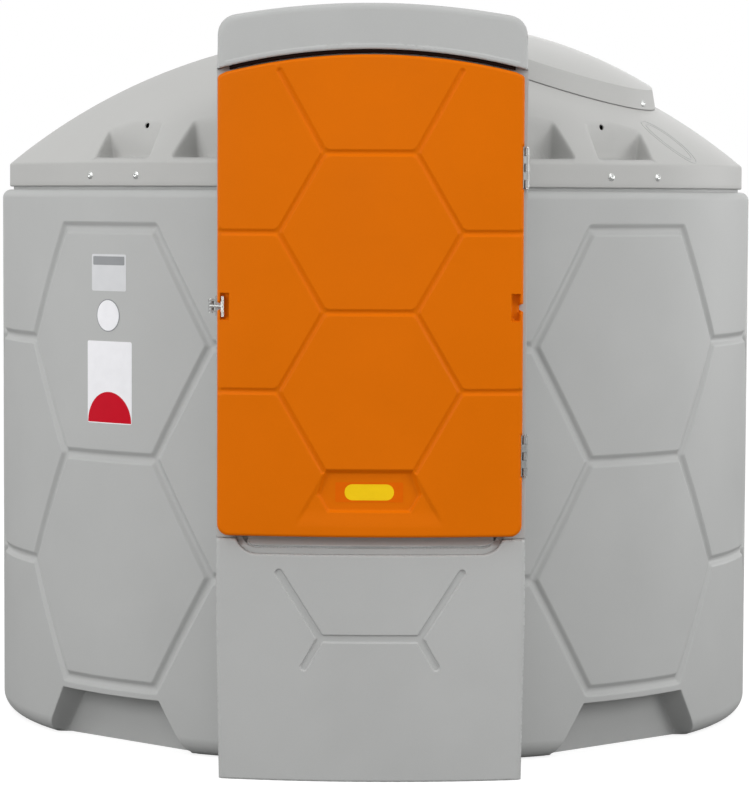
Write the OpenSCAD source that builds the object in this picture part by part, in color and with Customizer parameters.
/* [Bund] */
// Outer radius of the bund
bund_r = 1120; // [1110:5:1160]
// Height of the top of the bund's shoulder
bund_h = 1552; // [1500:2:1570]
// Wall thickness of the bund
bund_wall = 15; // [13:1:18]
// Radius of the bund's bottom edge
bund_foot_r = 52; // [40:1:60]
// Radius of the bund's shoulder
shoulder_r = 24; // [16:1:28]

// Depth of the honeycomb grooves in the bund's wall
comb_d = 8; // [5:0.5:10]
// Width of the honeycomb grooves
comb_w = 21; // [16:1:26]
// Height of the lowest horizontal groove
comb_z = 178; // [170:1:190]
// Distance from the highest groove to the bund's top
comb_top = 106; // [90:1:130]
// Number of honeycomb columns around the bund
comb_columns = 13; // [9:2:17]
// Height of the recesses in the foot
recess_h = 138; // [120:2:150]
// Depth of the foot recesses
recess_d = 104; // [90:2:120]
// Width of a foot recess at its top
recess_top_w = 380; // [340:10:400]
// Width of a foot recess at the floor
recess_low_w = 552; // [500:10:580]

/* [Dome] */
// How far the dome's skirt lies inside the bund's wall
skirt_in = 21; // [18:1:28]
// Gap between the bund's shoulder and the skirt
skirt_gap = 9; // [6:1:12]
// Height of the skirt
skirt_h = 70; // [60:1:80]
// Rise of the dome above its skirt
dome_rise = 396; // [380:2:410]
// Wall thickness of the dome
dome_wall = 9; // [7:1:11]

/* [Lifting points] */
// Height of the pocket floors above the top of the skirt
pocket_lift = 9; // [6:1:14]
// Thickness of the moulding under the pockets
pocket_skin = 9; // [7:1:12]
// Diameter of the lifting eyes
eye_d = 24; // [18:1:30]
// Height of the lifting eyes above the top of the skirt
eye_rise = 91; // [80:1:100]
// Direction of the lifting eyes in plan, from the X axis
eye_turn = 29; // [20:1:35]
// Length that is drilled for a lifting eye
eye_l = 160; // [150:5:180]

/* [Inner tank] */
// Gap between the inner tank and the bund wall
tank_gap = 46; // [35:1:55]
// Wall thickness of the inner tank
tank_wall = 9; // [7:1:11]
// Distance from the inner tank's wall top to the bund's top
tank_drop = 37; // [30:1:60]
// Radius of the flat top of the inner tank
tank_top_r = 560; // [500:10:620]
// Height of the inner tank's sloping shoulder
tank_slope_h = 100; // [80:5:110]
// Gap between the inner tank and the niche for the cabinet
tank_back_gap = 12; // [8:1:20]

/* [Manhole] */
// Distance of the manhole's middle from the edge of the dome
manhole_in = 537; // [525:1:550]
// Direction of the manhole in plan, turned from the X axis to the front
manhole_turn = 25.7; // [20:0.1:30]
// Outer radius of the lid at its lower edge
lid_r = 346; // [340:1:350]
// Height of the lid's skirt
lid_skirt_h = 52; // [46:1:58]
// How far the lid's skirt tapers in
lid_taper = 27; // [18:1:32]
// Rise of the lid's crown above its skirt
lid_crown = 39; // [32:1:46]
// Thickness of the lid's wall
lid_wall = 6; // [4:1:7]
// Clearance between the lid and the collar or the dome
lid_gap = 1.5; // [1:0.25:3]
// Radius of the opening under the lid
manhole_r = 262; // [250:2:270]
// Width of the collar's foot, outside the lid's clearance
collar_foot = 6; // [4:1:8]
// Depth of the collar's foot in the dome
collar_sink = 28; // [20:1:36]

/* [Cabinet] */
// Width of the cabinet
cab_w = 814; // [780:2:830]
// How far the cabinet's front stands past the bund's wall, on the centre line
cab_stand = 258; // [240:2:280]
// Depth of the cabinet's niche in the bund
niche_d = 240; // [220:5:260]
// How far the bowed front falls back at the cabinet's sides
cab_bow = 45; // [38:1:50]
// Wall thickness of the cabinet
cab_wall = 9; // [7:1:11]
// Height of the cabinet's lower front panel
panel_h = 599; // [580:1:620]
// Width of the frame beside the opening
jamb_w = 50; // [45:1:60]
// Radius of the opening's lower corners
sill_corner_r = 58; // [40:2:66]
// Height at which the front steps back for the door
rebate_z = 637; // [625:1:642]
// Depth of the compartment behind the opening
room_d = 145; // [120:5:200]
// Depth of the pan at the compartment's foot, behind the opening
pan_d = 32; // [24:1:60]
// Height of the pan above the lower panel
pan_h = 100; // [80:5:140]
// Height of the frame's header below the door's upper edge
header_h = 38; // [30:1:50]
// Width of the grooves in the lower panel
panel_groove_w = 19; // [14:1:24]
// Depth of the grooves in the lower panel
panel_groove_d = 5; // [3:0.5:7]
// Height of the cross bar between those grooves
panel_bar_z = 378; // [360:2:400]
// Half the length of the cross bar
panel_bar = 130; // [120:2:140]
// Distance of the upper groove ends from the centre line, and their height
panel_arm = [237, 560]; // [100:1:600]
// Distance of the lower groove ends from the centre line, and their height
panel_leg = [173, 303]; // [100:1:600]
// How far each side of the cabinet draws in at the floor
cab_draw = 8; // [4:1:10]
// Height up to which the sides draw in
cab_draw_h = 420; // [300:20:500]

/* [Hood] */
// Height of the hood's top on the centre line
hood_top = 2035; // [2030:1:2060]
// Fall of the hood's top towards the sides
hood_arch = 37; // [30:1:45]
// Height of the hood's front on the centre line
hood_front_h = 119; // [110:1:130]
// Fall of the hood's lower edge towards the sides
low_arch = 50; // [42:1:60]
// How far each side of the hood lies inside the cabinet's side
hood_in = 4; // [2:1:8]
// How far the hood's front stands past the cabinet's front
hood_over = 20; // [16:1:24]
// Radius of the hood's upper side edges
hood_edge_r = 52; // [40:1:60]
// Wall thickness of the hood
hood_wall = 8; // [6:1:10]

/* [Door] */
// Distance of the door's latch edge inside the cabinet's side
door_in_left = 4; // [2:1:10]
// Distance of the door's hinge edge inside the cabinet's side
door_in_right = 11; // [10:0.5:14]
// Height of the door's lower edge
door_z = 647; // [635:1:660]
// Thickness of the door
door_t = 40; // [34:1:44]
// How far the door's face stands past the cabinet's front
door_proud = 22; // [18:1:26]
// Gap between the top of the door and the hood
door_top_gap = 14; // [10:1:18]
// Radius of the door's lower corners
door_corner_r = 30; // [20:1:40]
// Clearance behind the door
door_gap = 5; // [4:0.5:8]
// Width of the door's grooves
door_groove_w = 15; // [11:1:18]
// Depth of the door's grooves
door_groove_d = 6; // [4:1:8]
// Depth of the bare place at the foot of the door
recess_deep_d = 14; // [8:1:18]
// Depth of the tapered recess around it
recess_flat_d = 5; // [3:1:7]
// Side length of the door's hexagons
door_hex = 239; // [225:1:245]
// Height of the lower hexagon above the door's lower edge
door_hex_rise = 173; // [165:1:180]
// Heights of the bare place's hexagon and of the taper round it
bare_h = [60, 107, 147]; // [50:1:160]
// How far that hexagon and the taper widen to each side
bare_out = [24, 3, 84]; // [0:1:100]

/* [Hinges] */
// Height of the lower hinge's middle above the door's lower edge
hinge_low_rise = 211; // [190:1:230]
// Distance of the upper hinge's middle below the hood's top
hinge_high_drop = 424; // [410:1:450]
// Length of a hinge
hinge_l = 105; // [90:1:120]
// Radius of the hinge pins
hinge_pin_r = 3; // [2.5:0.25:3.5]
// Radius of the hinge knuckles
hinge_knuckle_r = 6.5; // [5.5:0.25:7]
// Thickness of the hinge leaves
hinge_leaf_t = 2.5; // [2:0.25:3]
// Length of a hinge leaf behind the door
hinge_leaf_l = 60; // [50:1:70]
// Depth of the hinge axis behind the frame's corner
hinge_ahead = 34; // [32:0.5:36]
// Bore clearance round the pins
pin_fit = 0.1; // [0.05:0.01:0.1]

/* [Latch] */
// Height of the latch's middle above the door's lower edge
latch_rise = 600; // [590:1:610]
// Distance of the lever's axis beside the cabinet's wall
lever_out = 15; // [14:0.5:18]
// Distance of the lever's axis behind the cabinet's front
lever_back = 86; // [80:1:92]
// Radius of the lever's pin
lever_pin_r = 3; // [2.5:0.25:3.5]
// Thickness of the ears that hold the lever
ear_t = 4; // [3:0.5:5]
// Radius of the ears
ear_r = 8; // [7:0.5:8]
// Thickness of the latch's base plate
base_t = 3; // [2:0.5:4]
// Height of the latch's base plate
base_h = 52; // [50:1:60]
// Length of the latch's base plate
base_l = 56; // [50:1:60]
// Width of the strip in front of the T-bar's pocket
strip_w = 9; // [7:0.5:10]
// Width of the T-bar's pocket
pocket_w = 21; // [19:1:24]
// Depth of the T-bar's pocket
pocket_d = 17; // [15:1:20]
// Room above and below the T-bar
pocket_room = 7; // [6:1:9]
// Length of the T-bar
tbar_l = 54; // [48:1:60]
// Radius of the T-bar
tbar_r = 5; // [4:0.5:6]
// Radius of the latch's stem
stem_r = 3; // [2.5:0.25:3.5]
// Length of the latch lever
lever_l = 92; // [80:1:100]
// Height of the latch lever
lever_h = 24; // [20:1:28]

/* [Fittings in the compartment] */
// Distance of the fill pipe from the centre line, to the left
fill_left = 150; // [120:5:200]
// Height of the fill pipe above the lower panel
fill_rise = 361; // [300:5:420]
// Radius of the fill pipe
fill_r = 38; // [32:1:42]
// Wall thickness of the fill pipe
fill_wall = 6; // [4:1:8]
// Length of the fill pipe
fill_reach = 60; // [50:1:70]
// Radius of the fill pipe's flange
flange_r = 62; // [58:1:70]
// Thickness of the flange
flange_t = 12; // [8:1:14]
// Height of the fill cap
cap_h = 22; // [18:1:28]
// How far the cap stands out round the pipe
cap_lip = 7; // [5:1:10]
// Distance of the level gauge from the centre line, to the right
gauge_right = 140; // [120:5:180]
// Height of the level gauge above the lower panel
gauge_rise = 721; // [650:5:760]
// Radius of the level gauge
gauge_r = 66; // [60:1:72]
// Width of the gauge's rim
gauge_rim = 8; // [6:1:10]
// Depth of the gauge's case, up to its glass
gauge_t = 26; // [20:1:30]
// Thickness of the gauge's glass
glass_t = 3; // [2:0.5:4]

/* [Hidden] */
$fn = 96;

// Slack used where a cutter runs past a surface
past = 20;
// Fit between two pieces that seat on each other
fit = 0.3;
// Running gap between pieces that turn on each other
run_gap = 0.5;

grey = "#b4b5b3";
dark_grey = "#a5a7a5";
light_grey = "#c4c5c2";
orange = "#d56c05";
steel = "#9a9da0";
black = "#2a2b2c";
cast = "#8f3b2e";

// The skirt and the sphere that the dome is part of
skirt_r = bund_r - skirt_in;
skirt_z = bund_h + skirt_gap;
cap_z = skirt_z + skirt_h;
cap_r = skirt_r - 4;
dome_r = (cap_r * cap_r + dome_rise * dome_rise) / (2 * dome_rise);
dome_c = cap_z + dome_rise - dome_r;
neck_r = skirt_r - dome_wall - 2;

comb_rise = (bund_h - comb_z - comb_top) / 4;
recess_back = bund_r - recess_d;
cab_front = bund_r + cab_stand;
cab_back = bund_r - niche_d;

// Heights of the door's parts
latch_z = door_z + latch_rise;
door_hex_z = door_z + door_hex_rise;
hinge_low_z = door_z + hinge_low_rise;
hinge_high_z = hood_top - hinge_high_drop;

// The arcs that the cabinet, the door and the hood follow in plan
half_w = cab_w / 2;
bow_r = (half_w * half_w + cab_bow * cab_bow) / (2 * cab_bow);
bow_y = bow_r - cab_front;
door_out_r = bow_r + door_proud;
door_in_r = door_out_r - door_t;
jamb_r = door_in_r - door_gap;
hood_r = bow_r + hood_over;

// The two arches seen from the front: the hood's top, and the one the cabinet and the door end under
hood_half = half_w - hood_in;
arch_r = (hood_half * hood_half + hood_arch * hood_arch) / (2 * hood_arch);
arch_z = hood_top - arch_r;
low_arch_r = (hood_half * hood_half + low_arch * low_arch) / (2 * low_arch);
low_arch_z = hood_top - hood_front_h - low_arch_r;
door_top_r = low_arch_r - door_top_gap;

door_x0 = door_in_left - half_w;
door_x1 = half_w - door_in_right;
door_w = door_x1 - door_x0;
door_shift = -(door_x0 + door_x1) / 2;
opening_w = door_w - 2 * jamb_w + 2 * door_in_left;

// The hinge axis stands beside the door's right edge
hinge_x = half_w + hinge_leaf_t + fit - hinge_knuckle_r;
hinge_y = bow_y - sqrt(jamb_r * jamb_r - half_w * half_w) - hinge_ahead;
hinge_inset = 3;

// The lid's frame is square to the dome where the manhole is
lid_tilt = asin((cap_r - manhole_in) / dome_r);
lid_in_r = lid_r - lid_wall;
lid_sink = dome_r - sqrt(dome_r * dome_r - lid_in_r * lid_in_r) - lid_gap / 2;

module revolve_at(z) { translate([0, 0, z]) rotate_extrude($fn = 156) children(); }

module front_arc(r, depth) {
    // A solid disc in plan, cut off behind, that ends at radius r from the bow's centre
    translate([0, bow_y, 0]) cylinder(r = r, h = depth, $fn = 360);
}

module plan_bounds(half, y_back, y_front, z0, z1) {
    translate([-half, -y_front, z0]) cube([2 * half, y_front - y_back, z1 - z0]);
}

// The outside of the cabinet, from z0 to z1, with its front at radius r
module cabinet_block(half, r, y_back, z0, z1) {
    intersection() {
        translate([0, 0, z0]) front_arc(r, z1 - z0);
        plan_bounds(half, y_back, r, z0, z1);
    }
}

// Everything below the lower arch seen from the front, along the whole depth
module under_arch(r) {
    translate([0, 0, low_arch_z]) rotate([90, 0, 0])
        translate([0, 0, cab_back - past * 4]) cylinder(r = r, h = cab_front, $fn = 360);
}

// Room in the bund and the dome for the cabinet
module niche() {
    plan_bounds(half_w + fit, cab_back - fit, bund_r + past, -past, hood_top + past);
}

module bund_profile(inset) {
    r = bund_r - inset;
    foot = bund_foot_r - inset;
    sh = shoulder_r - inset / 2;
    difference() {
        union() {
            translate([0, inset]) square([r - foot, bund_h - 2 * inset]);
            translate([0, inset + foot]) square([r, bund_h - 2 * inset - foot - sh]);
            translate([0, bund_h - inset - sh - past]) square([r - sh, sh + past]);
            translate([r - foot, inset + foot]) circle(foot);
            translate([r - sh, bund_h - inset - sh]) circle(sh);
        }
        translate([-2 * bund_r, 0]) square([2 * bund_r, 2 * bund_h]);
    }
}

// A straight stroke with round ends, drawn in a plane
module stroke(a, b, w) {
    d = b - a;
    translate(a) rotate(atan2(d[1], d[0])) translate([0, -w / 2]) square([norm(d), w]);
    for (p = [a, b]) translate(p) circle(w / 2, $fn = 24);
}

comb_step = 360 / comb_columns;
comb_x = [bund_r * sin(comb_step / 3), bund_r * sin(2 * comb_step / 3)];

// One honeycomb column seen square on: two whole hexagons, one above the other
module comb_whole() {
    z = [for (i = [0:4]) comb_z + i * comb_rise];
    for (i = [0, 2, 4]) stroke([-comb_x[0], z[i]], [comb_x[0], z[i]], comb_w);
    for (side = [-1, 1], i = [1, 3], j = [-1, 1])
        stroke([side * comb_x[1], z[i]], [side * comb_x[0], z[i + j]], comb_w);
}

// The column beside it only adds the grooves between two hexagons
module comb_between() {
    for (z = [comb_z + comb_rise, comb_z + 3 * comb_rise]) stroke([-comb_x[0], z], [comb_x[0], z], comb_w);
}

module around(i) {
    rotate([0, 0, (i + 0.5) * comb_step]) translate([0, -bund_r / 2, 0]) rotate([90, 0, 0])
        linear_extrude(bund_r) children();
}

module comb_grooves() {
    intersection() {
        difference() {
            cylinder(r = bund_r + past, h = bund_h, $fn = 156);
            translate([0, 0, -1]) cylinder(r = bund_r - comb_d, h = bund_h + 2, $fn = 156);
        }
        for (i = [0:comb_columns - 1]) around(i) if (i % 2 == 1) comb_whole(); else comb_between();
    }
}

// Recesses in the foot, one under each whole column
module foot_recesses(grow) {
    top = recess_top_w / 2 + grow;
    low = recess_low_w / 2 + grow;
    for (i = [1:2:comb_columns - 2]) rotate([0, 0, (i + 0.5) * comb_step])
        translate([0, grow - recess_back, 0]) rotate([90, 0, 0]) linear_extrude(2 * recess_d)
            polygon([[-low, -past], [low, -past], [low, 0], [top, recess_h + grow],
                [-top, recess_h + grow], [-low, 0]]);
}

module bund_tank() {
    color(grey) difference() {
        union() {
            revolve_at(0) bund_profile(0);
            // Neck that the dome's skirt slips over
            translate([0, 0, bund_h - shoulder_r]) cylinder(r = neck_r, h = shoulder_r + skirt_h, $fn = 156);
        }
        difference() {
            revolve_at(0) bund_profile(bund_wall);
            plan_bounds(half_w + bund_wall, cab_back - bund_wall, bund_r, 0, bund_h);
            foot_recesses(bund_wall);
        }
        foot_recesses(0);
        translate([0, 0, bund_h - 2 * shoulder_r])
            cylinder(r = neck_r - bund_wall, h = 3 * shoulder_r + skirt_h, $fn = 156);
        niche();
        comb_grooves();
    }
}

module dome_solid(inset) {
    intersection() {
        translate([0, 0, dome_c]) sphere(dome_r - inset, $fn = 200);
        translate([0, 0, skirt_z]) cylinder(r = skirt_r - inset, h = dome_r, $fn = 156);
    }
}

// Corners of the two pockets beside a lifting point, seen from above
outer_pocket = skirt_r *
    [[0.533, -0.64], [0.609, -0.605], [0.668, -0.547], [0.728, -0.773], [0.582, -0.901]];
inner_pocket = skirt_r *
    [[0.309, -0.773], [0.391, -0.748], [0.443, -0.715], [0.523, -0.901], [0.309, -0.99]];
// Outline of the solid moulding that the pockets are sunk in
lift_block = skirt_r * [[0.273, -0.755], [0.391, -0.719], [0.510, -0.628], [0.655, -0.519], [0.819, -0.637],
                        [0.637, -1.001], [0.273, -1.001]];
pocket_z = cap_z + pocket_lift;
// Middle of the lifting eye
eye_at = [skirt_r * 0.4895, -skirt_r * 0.7043, cap_z + eye_rise];

module prism(outline, z) { translate([0, 0, z]) linear_extrude(dome_rise) polygon(outline); }

// Copies children to both sides, front and back, or to the front only
module sides(front_back = true) {
    for (sx = [0, 1], sy = front_back ? [0, 1] : [0])
        mirror([sx, 0, 0]) mirror([0, sy, 0]) children();
}

module tank_dome() {
    color(light_grey) difference() {
        dome_solid(0);
        difference() {
            translate([0, 0, -1]) dome_solid(dome_wall);
            sides() prism(lift_block, pocket_z - pocket_skin);
        }
        niche();
        rotate_at_manhole(dome_rise / 2) cylinder(r = manhole_r, h = dome_rise);
        sides() {
            prism(outer_pocket, pocket_z);
            prism(inner_pocket, pocket_z);
            translate(eye_at) rotate([0, 0, eye_turn]) rotate([0, 90, 0])
                cylinder(r = eye_d / 2, h = eye_l, center = true, $fn = 32);
        }
    }
}

// Frame with +Z square to the dome at the manhole, and its origin at a depth below the dome there
module rotate_at_manhole(depth) {
    translate([0, 0, dome_c]) rotate([0, 0, -manhole_turn]) rotate([0, lid_tilt, 0])
        translate([0, 0, dome_r - depth]) children();
}

lid_seat_h = lid_skirt_h - lid_wall;
lid_top_r = lid_r - lid_taper;
crown_r = (lid_top_r * lid_top_r + lid_crown * lid_crown) / (2 * lid_crown);
crown_z = lid_skirt_h + lid_crown - crown_r;

module manhole_collar() {
    low_r = lid_in_r - lid_gap;
    top_r = low_r - lid_taper * lid_seat_h / lid_skirt_h;
    color(light_grey) difference() {
        rotate_at_manhole(lid_sink + collar_sink) rotate_extrude($fn = 120) polygon([[manhole_r, 0],
            [low_r + collar_foot, 0], [low_r, collar_sink], [top_r, collar_sink + lid_seat_h],
            [manhole_r, collar_sink + lid_seat_h]]);
        translate([0, 0, dome_c]) sphere(dome_r, $fn = 200);
    }
}

module manhole_lid() {
    color(grey) rotate_at_manhole(lid_sink) difference() {
        union() {
            cylinder(r1 = lid_r, r2 = lid_top_r, h = lid_skirt_h, $fn = 120);
            intersection() {
                translate([0, 0, crown_z]) sphere(crown_r, $fn = 200);
                translate([0, 0, lid_skirt_h - 1]) cylinder(r = lid_top_r, h = 3 * lid_crown, $fn = 120);
            }
        }
        translate([0, 0, -1]) cylinder(r1 = lid_in_r, r2 = lid_in_r - lid_taper * lid_seat_h / lid_skirt_h,
            h = 1 + lid_seat_h, $fn = 120);
        intersection() {
            translate([0, 0, crown_z]) sphere(crown_r - lid_wall, $fn = 200);
            cylinder(r = manhole_r, h = lid_skirt_h + lid_crown, $fn = 120);
        }
    }
}

tank_r = bund_r - bund_wall - tank_gap;
tank_flat = cab_back - bund_wall - tank_back_gap;
tank_h = bund_h - tank_drop - bund_wall;

// The tank steps in above the recesses in the bund's foot
tank_low_r = recess_back - 2 * bund_wall;
tank_step_z = recess_h + 2 * bund_wall;

module tank_outer(inset) {
    difference() {
        union() {
            translate([0, 0, bund_wall + inset])
                cylinder(r = tank_low_r - inset, h = tank_step_z, $fn = 120);
            translate([0, 0, tank_step_z + inset])
                cylinder(r = tank_r - inset, h = tank_h + bund_wall - tank_step_z - 2 * inset, $fn = 120);
            translate([0, 0, bund_wall + tank_h - inset])
                cylinder(r1 = tank_r - inset, r2 = tank_top_r, h = tank_slope_h, $fn = 120);
        }
        plan_bounds(bund_r, tank_flat - inset, 2 * bund_r, -1, 2 * bund_h);
    }
}

module inner_tank() {
    color(dark_grey) difference() {
        tank_outer(0);
        tank_outer(tank_wall);
    }
}

room_y = bow_y - jamb_r + room_d;

// The opening seen from the front, drawn in by a wall's thickness or grown by it
module opening_outline(grow) {
    half = opening_w / 2 + grow;
    c = sill_corner_r + grow;
    low = panel_h - grow;
    translate([-door_shift, 0]) {
        translate([-half, low + c]) square([2 * half, hood_top - low - c]);
        translate([c - half, low]) square([2 * half - 2 * c, 2 * c]);
        for (side = [-1, 1]) translate([side * (half - c), low + c]) circle(c, $fn = 48);
    }
}

// The compartment behind the door, or with grow its outside, with a shallow pan at its foot
module room(grow) {
    difference() {
        translate([0, room_y + grow, 0]) rotate([90, 0, 0]) linear_extrude(cab_front) intersection() {
            opening_outline(grow);
            translate([0, low_arch_z]) circle(door_top_r - header_h + grow, $fn = 360);
        }
        plan_bounds(cab_w, 0, cab_front - cab_bow - pan_d - grow, 0, panel_h + pan_h - grow);
    }
}

// Grooves in the lower panel, seen from the front: a bar with two arms at each end
module panel_grooves() {
    z = panel_bar_z;
    for (side = [-1, 1]) {
        stroke([side * panel_bar, z], [side * panel_arm[0], panel_arm[1]], panel_groove_w);
        stroke([side * panel_bar, z], [side * panel_leg[0], panel_leg[1]], panel_groove_w);
    }
    stroke([-panel_bar, z], [panel_bar, z], panel_groove_w);
}

module cabinet_body() {
    color(dark_grey) difference() {
        intersection() {
            cabinet_block(half_w, bow_r, cab_back, 0, hood_top);
            under_arch(low_arch_r);
        }
        // Rebate that the door closes into
        difference() {
            plan_bounds(bund_r, 0, 2 * bund_r, rebate_z, hood_top + 1);
            translate([0, 0, rebate_z - 1]) front_arc(jamb_r, hood_top);
        }
        // The moulding is hollow round the compartment
        difference() {
            intersection() {
                cabinet_block(half_w - cab_wall, jamb_r - cab_wall, cab_back + cab_wall, cab_wall, hood_top);
                under_arch(low_arch_r - cab_wall);
            }
            room(cab_wall);
        }
        room(0);
        intersection() {
            front_view() panel_grooves();
            door_band(bow_r - panel_groove_d, bow_r + past);
        }
        // The sides draw in towards the floor
        for (side = [0, 1]) mirror([side, 0, 0]) translate([half_w, 0, cab_draw_h]) rotate([90, 0, 0])
            linear_extrude(2 * bund_r) polygon([[0, 0], [-cab_draw, -cab_draw_h],
                [-cab_draw, -cab_draw_h - 1], [past, -cab_draw_h - 1], [past, 0]]);
    }
}

// The hood seen from the front: an arch with round upper corners
module hood_outline(inset) {
    half = hood_half - inset;
    r = arch_r - inset;
    e = hood_edge_r - inset / 2;
    corner_z = arch_z + sqrt((r - e) * (r - e) - (half - e) * (half - e));
    intersection() {
        translate([0, arch_z]) circle(r, $fn = 360);
        translate([-(half - e) * r / (r - e), 0]) square([2 * (half - e) * r / (r - e), hood_top]);
    }
    for (side = [-1, 1]) translate([side * (half - e), corner_z]) circle(e, $fn = 48);
    translate([-half, 0]) square([2 * half, corner_z]);
}

module hood_outer(inset) {
    intersection() {
        translate([0, -cab_back - inset, 0]) rotate([90, 0, 0])
            linear_extrude(cab_front) hood_outline(inset);
        front_arc(hood_r - inset, 2 * hood_top);
    }
}

module cabinet_hood() {
    color(dark_grey) difference() {
        hood_outer(0);
        hood_outer(hood_wall);
        under_arch(low_arch_r);
    }
}

module door_outline() {
    c = door_corner_r;
    intersection() {
        union() {
            translate([door_x0, door_z + c]) square([door_w, hood_top - door_z]);
            translate([door_x0 + c, door_z]) square([door_w - 2 * c, 2 * c]);
            for (x = [door_x0 + c, door_x1 - c]) translate([x, door_z + c]) circle(c, $fn = 48);
        }
        translate([0, low_arch_z]) circle(door_top_r, $fn = 360);
    }
}

module door_band(r0, r1) {
    difference() {
        front_arc(r1, 2 * hood_top);
        translate([0, 0, -1]) front_arc(r0, 2 * hood_top + 2);
    }
}

// Extrudes a front view back to front through the door
module front_view() { translate([0, -bund_r, 0]) rotate([90, 0, 0]) linear_extrude(cab_front) children(); }

module door_panel() {
    color(orange) difference() {
        intersection() {
            front_view() door_outline();
            door_band(door_in_r, door_out_r);
        }
        for (z = [hinge_low_z, hinge_high_z]) hinge_notch(z);
        for (side = [0, 1]) translate([-door_shift, 0, 0]) mirror([side, 0, 0]) edge_pocket();
        intersection() {
            front_view() door_grooves();
            door_band(door_out_r - door_groove_d, door_out_r + past);
        }
        label_recess();
    }
}

// Grooves of the door, seen from the front: two hexagons and the stubs beside and above them
module door_grooves() {
    rise = door_hex * sqrt(3) / 2;
    edge = door_w / 2 + past;
    w = door_groove_w;
    translate([-door_shift, door_hex_z]) for (side = [-1, 1]) {
        for (i = [1, 3]) {
            stroke([side * door_hex / 2, (i - 1) * rise], [side * door_hex, i * rise], w);
            stroke([side * door_hex, i * rise], [side * door_hex / 2, (i + 1) * rise], w);
            stroke([side * door_hex, i * rise], [side * edge, i * rise], w);
            stroke([0, (i + 1) * rise], [side * door_hex / 2, (i + 1) * rise], w);
        }
        stroke([side * door_hex / 2, 4 * rise], [side * (door_hex / 2 + door_hex * 0.6), 5.2 * rise], w);
    }
}

// The bare place at the foot of the door: a flat hexagon sunk in a wider tapered recess
module label_recess() {
    half = door_hex / 2 - door_groove_w / 2;
    intersection() {
        front_view() translate([-door_shift, door_hex_z]) polygon([[-half, 0], [half, 0],
            [half + bare_out[0], -bare_h[0]], [half - bare_out[1], -bare_h[1]],
            [bare_out[1] - half, -bare_h[1]], [-half - bare_out[0], -bare_h[0]]]);
        door_band(door_out_r - recess_deep_d, door_out_r + past);
    }
    intersection() {
        front_view() translate([-door_shift, door_hex_z])
            polygon([[-half, 0], [half, 0],
                [half + bare_out[2], -bare_h[2]], [-half - bare_out[2], -bare_h[2]]]);
        door_band(door_out_r - recess_flat_d, door_out_r + past);
    }
}

// Room in the door's right edge for a hinge
module hinge_notch(z) {
    translate([door_x1 - hinge_inset, hinge_y - door_t, z - hinge_l / 2 - hinge_inset])
        cube([door_t, 2 * door_t, hinge_l + 2 * hinge_inset]);
}

// The lever turns on an upright pin beside the cabinet's left wall
lever_x = -half_w - lever_out;
lever_y = lever_back - cab_front;

// Each side edge of the door has a pocket for a T-bar, held behind a strip with a notch in it
tbar_x = door_x0 + strip_w + tbar_r + fit;
tbar_sink = tbar_r + 1;
tbar_y = bow_y - sqrt(door_out_r * door_out_r - tbar_x * tbar_x) + tbar_sink;
stem_end = [lever_x - 2, lever_y - 12];
stem_turn = atan2(stem_end[1] - tbar_y, stem_end[0] - tbar_x);

module edge_pocket() {
    x = -door_w / 2;
    half = tbar_l / 2 + pocket_room;
    y = tbar_y - tbar_sink + pocket_d;
    wide = 2 * stem_r + tbar_r;
    translate([x + strip_w, y, latch_z]) rotate([90, 0, 0]) linear_extrude(3 * door_t)
        translate([0, -half]) square([pocket_w, 2 * half]);
    // The notch widens towards the door's edge and goes right through it
    translate([0, y + 2 * door_t, latch_z]) rotate([90, 0, 0]) linear_extrude(5 * door_t)
        polygon([[x - 1, -wide], [x + strip_w + 1, -2 * stem_r],
            [x + strip_w + 1, 2 * stem_r], [x - 1, wide]]);
}

module knuckle(z0, z1) {
    difference() {
        translate([hinge_x, hinge_y, z0]) cylinder(r = hinge_knuckle_r, h = z1 - z0, $fn = 48);
        translate([hinge_x, hinge_y, z0 - 1]) cylinder(r = hinge_pin_r + pin_fit, h = z1 - z0 + 2, $fn = 48);
    }
}

// Knuckles count from below: the frame holds the even ones and the door the odd ones
module hinge_knuckles(z, on_door) {
    pitch = hinge_l / 5;
    z0 = z - hinge_l / 2;
    for (i = on_door ? [1, 3] : [0, 2, 4])
        knuckle(z0 + i * pitch + run_gap / 2, z0 + (i + 1) * pitch - run_gap / 2);
}

module hinge_webs(z, on_door, x0, x1, y0, y1) {
    pitch = hinge_l / 5;
    z0 = z - hinge_l / 2;
    for (i = on_door ? [1, 3] : [0, 2, 4])
        translate([x0, y0, z0 + i * pitch + run_gap / 2]) cube([x1 - x0, y1 - y0, pitch - run_gap]);
}

module pin_space(z) {
    translate([hinge_x, hinge_y, z - hinge_l])
        cylinder(r = hinge_pin_r + pin_fit, h = 2 * hinge_l, $fn = 48);
}

module hinge_frame(z) {
    leaf_x = half_w + fit;
    color(steel) difference() {
        union() {
            hinge_knuckles(z, false);
            hinge_webs(z, false, leaf_x, leaf_x + hinge_leaf_t, hinge_y, hinge_y + 3 * hinge_knuckle_r);
            translate([leaf_x, hinge_y + hinge_knuckle_r + 2, z - hinge_l / 2])
                cube([hinge_leaf_t, hinge_leaf_l, hinge_l]);
        }
        pin_space(z);
    }
}

module hinge_door(z) {
    leaf_x = door_x1 - hinge_inset + fit;
    color(steel) difference() {
        union() {
            hinge_knuckles(z, true);
            hinge_webs(z, true, leaf_x, hinge_x, hinge_y - hinge_knuckle_r,
                hinge_y - hinge_knuckle_r + hinge_leaf_t);
            translate([leaf_x, hinge_y - hinge_knuckle_r, z - hinge_l / 2])
                cube([hinge_leaf_t, door_t * 0.6, hinge_l]);
        }
        pin_space(z);
    }
}

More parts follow.
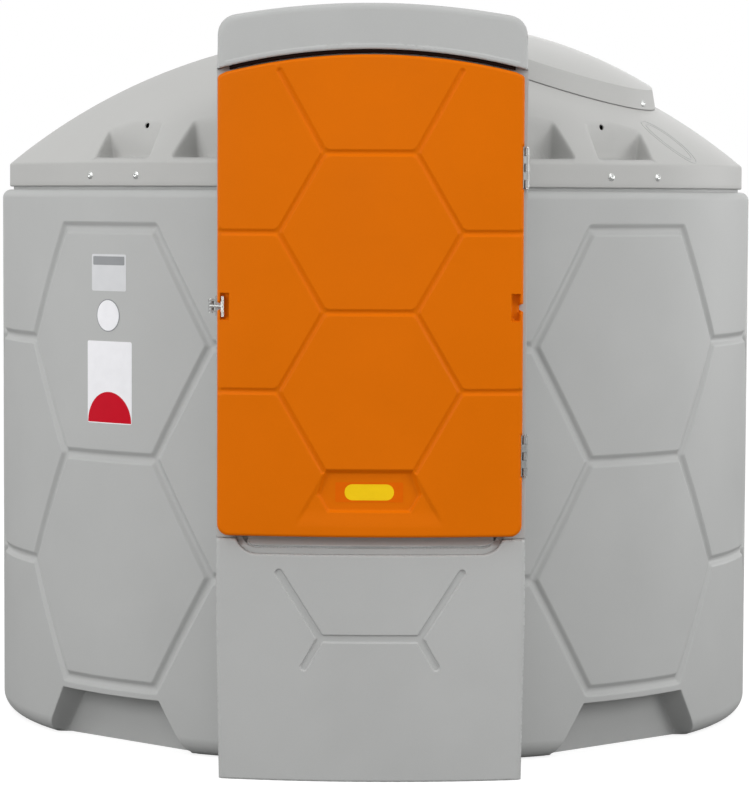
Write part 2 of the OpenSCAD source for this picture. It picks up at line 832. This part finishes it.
module hinge_pin(z) {
    color(steel) {
        translate([hinge_x, hinge_y, z - hinge_l / 2 - 2])
            cylinder(r = hinge_pin_r, h = hinge_l + 4, $fn = 48);
        for (end = [z - hinge_l / 2 - 2, z + hinge_l / 2])
            translate([hinge_x, hinge_y, end]) cylinder(r = hinge_pin_r + 1.5, h = 2, $fn = 48);
    }
}

module hinge_upper_frame() { hinge_frame(hinge_high_z); }
module hinge_upper_door() { hinge_door(hinge_high_z); }
module hinge_upper_pin() { hinge_pin(hinge_high_z); }
module hinge_lower_frame() { hinge_frame(hinge_low_z); }
module hinge_lower_door() { hinge_door(hinge_low_z); }
module hinge_lower_pin() { hinge_pin(hinge_low_z); }

lever_r = ear_r - 1;
lever_t = lever_r - 2;

module lever_bore() {
    translate([lever_x, lever_y, latch_z - base_h])
        cylinder(r = lever_pin_r + pin_fit, h = 2 * base_h, $fn = 48);
}

module latch_base() {
    ear_z = lever_h / 2 + run_gap;
    color(steel) difference() {
        union() {
            translate([-half_w - fit - base_t, lever_y - base_l / 4, latch_z - base_h / 2])
                cube([base_t, base_l, base_h]);
            for (z = [latch_z - ear_z - ear_t, latch_z + ear_z]) {
                translate([lever_x, lever_y - ear_r, z])
                    cube([-half_w - fit - 1 - lever_x, 2 * ear_r, ear_t]);
                translate([lever_x, lever_y, z]) cylinder(r = ear_r, h = ear_t, $fn = 48);
            }
        }
        lever_bore();
    }
}

module latch_lever() {
    color(steel) difference() {
        union() {
            translate([lever_x, lever_y, latch_z - lever_h / 2]) {
                cylinder(r = lever_r, h = lever_h, $fn = 48);
                translate([1 - lever_r, 0, 0]) cube([lever_t, lever_l, lever_h]);
            }
        }
        lever_bore();
        // Room between the lever's cheeks for the end of the stem
        translate([lever_x - 2 * lever_r, lever_y - 4 - 4 * lever_r, latch_z - 2 * stem_r])
            cube([4 * lever_r, 4 * lever_r, 4 * stem_r]);
    }
}

module latch_pin() {
    reach = lever_h / 2 + run_gap + ear_t;
    color(steel) {
        translate([lever_x, lever_y, latch_z - reach]) cylinder(r = lever_pin_r, h = 2 * reach, $fn = 48);
        for (z = [latch_z - reach - 2, latch_z + reach])
            translate([lever_x, lever_y, z]) cylinder(r = lever_pin_r + 2, h = 2, $fn = 48);
    }
}

// The stem runs from the T-bar to just in front of the lever's pin
module latch_hook() {
    reach = norm(stem_end - [tbar_x, tbar_y]);
    color(steel) translate([tbar_x, tbar_y, latch_z]) {
        translate([0, 0, -tbar_l / 2]) cylinder(r = tbar_r, h = tbar_l, $fn = 48);
        rotate([0, 0, stem_turn]) rotate([0, 90, 0]) cylinder(r = stem_r, h = reach, $fn = 32);
    }
}

fill_x = -fill_left;
fill_z = panel_h + fill_rise;

module fill_pipe() {
    color(steel) translate([fill_x, room_y, fill_z]) rotate([90, 0, 0]) difference() {
        union() {
            cylinder(r = flange_r, h = flange_t, $fn = 64);
            cylinder(r = fill_r, h = fill_reach, $fn = 64);
        }
        translate([0, 0, fill_wall]) cylinder(r = fill_r - fill_wall, h = fill_reach, $fn = 64);
    }
}

module fill_cap() {
    r = fill_r + cap_lip;
    color(cast) translate([fill_x, room_y - fill_reach, fill_z]) rotate([90, 0, 0]) {
        cylinder(r = r, h = cap_h, $fn = 64);
        // Two ears to turn the cap by
        for (side = [0, 1]) mirror([side, 0, 0])
            translate([r - cap_lip, -cap_lip, 0]) cube([2 * cap_lip, 2 * cap_lip, 2 * cap_lip]);
    }
}

gauge_x = gauge_right;
gauge_z = panel_h + gauge_rise;
glass_r = gauge_r - gauge_rim;

module level_gauge() {
    color(black) translate([gauge_x, room_y, gauge_z]) rotate([90, 0, 0]) difference() {
        cylinder(r = gauge_r, h = gauge_t + gauge_rim, $fn = 64);
        translate([0, 0, gauge_t]) cylinder(r = glass_r, h = gauge_r, $fn = 64);
    }
}

module gauge_glass() {
    color("lightblue") translate([gauge_x, room_y - gauge_t, gauge_z]) rotate([90, 0, 0])
        cylinder(r = glass_r, h = glass_t, $fn = 64);
}

bund_tank();
tank_dome();
inner_tank();
manhole_collar();
manhole_lid();
cabinet_body();
cabinet_hood();
door_panel();
hinge_upper_frame();
hinge_upper_door();
hinge_upper_pin();
hinge_lower_frame();
hinge_lower_door();
hinge_lower_pin();
latch_base();
latch_lever();
latch_pin();
latch_hook();
fill_pipe();
fill_cap();
level_gauge();
gauge_glass();
